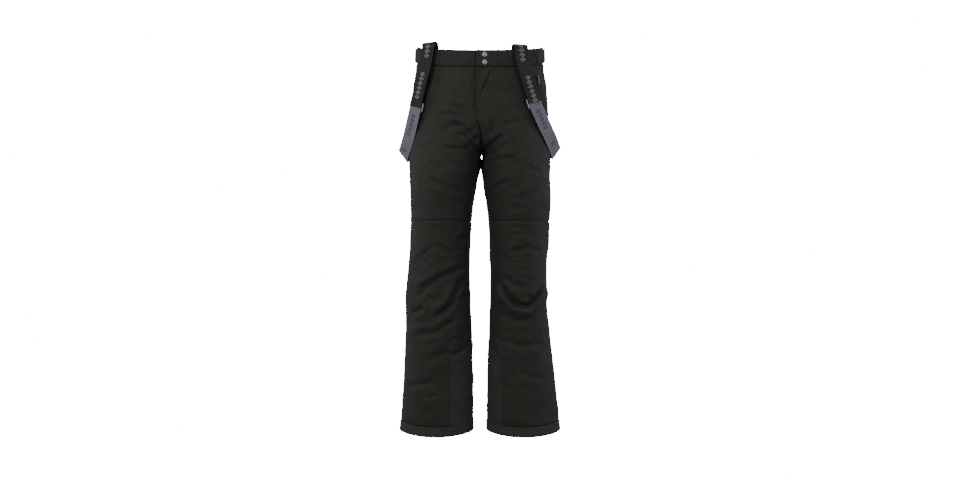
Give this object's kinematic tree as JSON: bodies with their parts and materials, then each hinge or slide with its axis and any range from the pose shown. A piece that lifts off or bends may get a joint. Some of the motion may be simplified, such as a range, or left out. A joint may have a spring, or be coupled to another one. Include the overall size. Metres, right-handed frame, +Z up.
{
  "type": "ski pants",
  "caption": "Insulated ski pants with wide straight legs, snap and zip fly, side waist adjusters, inner snow gaiters and detachable elastic braces hanging over the hips.",
  "frame": {"origin": "Middle of the waist opening, level with the waistband's top edge at the side seams.", "axes": "+Z up along the legs towards the waist, -Y out of the front where the fly is, +X towards the wearer's left."},
  "size_m": [0.4559, 0.2855, 1.0837],
  "materials": {
    "shell": "matte black-brown plain weave nylon, lightly crinkled",
    "reinforcement": "coarse abrasion-resistant plain weave, slightly greyer",
    "lining": "smooth dark taffeta",
    "webbing": "black jacquard elastic webbing, ribbed",
    "webbing_reverse": "blue-grey reverse face of the elastic webbing",
    "metal": "dull nickel plate",
    "zip": "black coil zip and moulded black plastic"
  },
  "bodies": {
    "root": {"adjuster_pad_left": "reinforcement", "adjuster_pad_right": "reinforcement", "back_panel_left": "shell", "back_panel_right": "shell", "brace_anchor_left": "zip", "brace_anchor_right": "zip", "brace_back_left": "webbing_reverse", "brace_back_right": "webbing_reverse", "brace_back_strap": "webbing", "brace_back_tab": "reinforcement", "brace_front_left": "webbing", "brace_front_right": "webbing", "brace_patch": "reinforcement", "fly_shield": "lining", "fly_zip_tape_left": "zip", "fly_zip_tape_right": "zip", "front_panel_left": "shell", "front_panel_right": "shell", "hanger_loop": "webbing", "knee_back_left": "shell", "knee_back_right": "shell", "knee_front_left": "shell", "knee_front_right": "shell", "pocket_bag_left": "lining", "pocket_bag_right": "lining", "pocket_welt_left": "reinforcement", "pocket_welt_right": "reinforcement", "snap_stud_lower": "metal", "snap_stud_upper": "metal", "waistband_back": "shell", "waistband_front_left": "shell", "waistband_front_right": "shell"},
    "waist_flap": {"waistband_tab": "shell", "snap_cap_upper": "metal", "snap_cap_lower": "metal"},
    "fly_slider": {"fly_zip_slider": "metal", "fly_zip_pull": "metal"},
    "shin_left": {"shin_front_left": "shell", "shin_back_left": "shell", "hem_band_left": "reinforcement", "scuff_guard_left": "reinforcement", "gaiter_left": "lining", "gaiter_elastic_left": "webbing"},
    "adjuster_left": {"adjuster_tab_left": "shell"},
    "pocket_zip_left": {"pocket_slider_left": "metal"},
    "pocket_pull_left": {"pocket_pull_left": "metal"},
    "brace_slide_left": {"brace_slide_left": "metal"},
    "shin_right": {"shin_front_right": "shell", "shin_back_right": "shell", "hem_band_right": "reinforcement", "scuff_guard_right": "reinforcement", "gaiter_right": "lining", "gaiter_elastic_right": "webbing"},
    "adjuster_right": {"adjuster_tab_right": "shell"},
    "pocket_zip_right": {"pocket_slider_right": "metal"},
    "pocket_pull_right": {"pocket_pull_right": "metal"},
    "brace_slide_right": {"brace_slide_right": "metal"}
  },
  "joints": [
    {"name": "knee_left", "type": "hinge", "parent": "root", "child": "shin_left", "pos_m": [0.111, 0, -0.62], "axis": [1, 0, 0], "range_deg": [0, 75], "deforming": ["knee_front_left", "knee_back_left"]},
    {"name": "knee_right", "type": "hinge", "parent": "root", "child": "shin_right", "pos_m": [-0.111, 0, -0.62], "axis": [1, 0, 0], "range_deg": [0, 75], "deforming": ["knee_front_right", "knee_back_right"]},
    {"name": "waist_flap_open", "type": "hinge", "parent": "root", "child": "waist_flap", "pos_m": [0.04652, -0.10223, -0.06937], "axis": [0, 0, 1], "range_deg": [0, 70]},
    {"name": "fly_zip", "type": "slide", "parent": "root", "child": "fly_slider", "axis": [0, -0.097, -0.9953], "range_m": [0, 0.105]},
    {"name": "adjuster_peel_left", "type": "hinge", "parent": "root", "child": "adjuster_left", "pos_m": [0.17123, 0.04062, -0.02], "axis": [0, 0, 1], "range_deg": [0, 50]},
    {"name": "pocket_zip_left", "type": "slide", "parent": "root", "child": "pocket_zip_left", "axis": [0.2806, 0.1789, -0.943], "range_m": [0, 0.082]},
    {"name": "pocket_pull_left", "type": "hinge", "parent": "pocket_zip_left", "child": "pocket_pull_left", "pos_m": [0.16107, -0.06755, -0.09403], "axis": [-0.693, -0.7209, 0], "range_deg": [0, 80]},
    {"name": "brace_slide_left", "type": "slide", "parent": "root", "child": "brace_slide_left", "axis": [-0.2782, -0.048, 0.9593], "range_m": [0, 0.036]},
    {"name": "adjuster_peel_right", "type": "hinge", "parent": "root", "child": "adjuster_right", "pos_m": [-0.17123, 0.04062, -0.02], "axis": [0, 0, -1], "range_deg": [0, 50]},
    {"name": "pocket_zip_right", "type": "slide", "parent": "root", "child": "pocket_zip_right", "axis": [-0.2806, 0.1789, -0.943], "range_m": [0, 0.082]},
    {"name": "pocket_pull_right", "type": "hinge", "parent": "pocket_zip_right", "child": "pocket_pull_right", "pos_m": [-0.16107, -0.06755, -0.09403], "axis": [-0.693, 0.7209, 0], "range_deg": [0, 3]},
    {"name": "brace_slide_right", "type": "slide", "parent": "root", "child": "brace_slide_right", "axis": [0.2121, -0.0964, 0.9725], "range_m": [0, 0.036]}
  ]
}
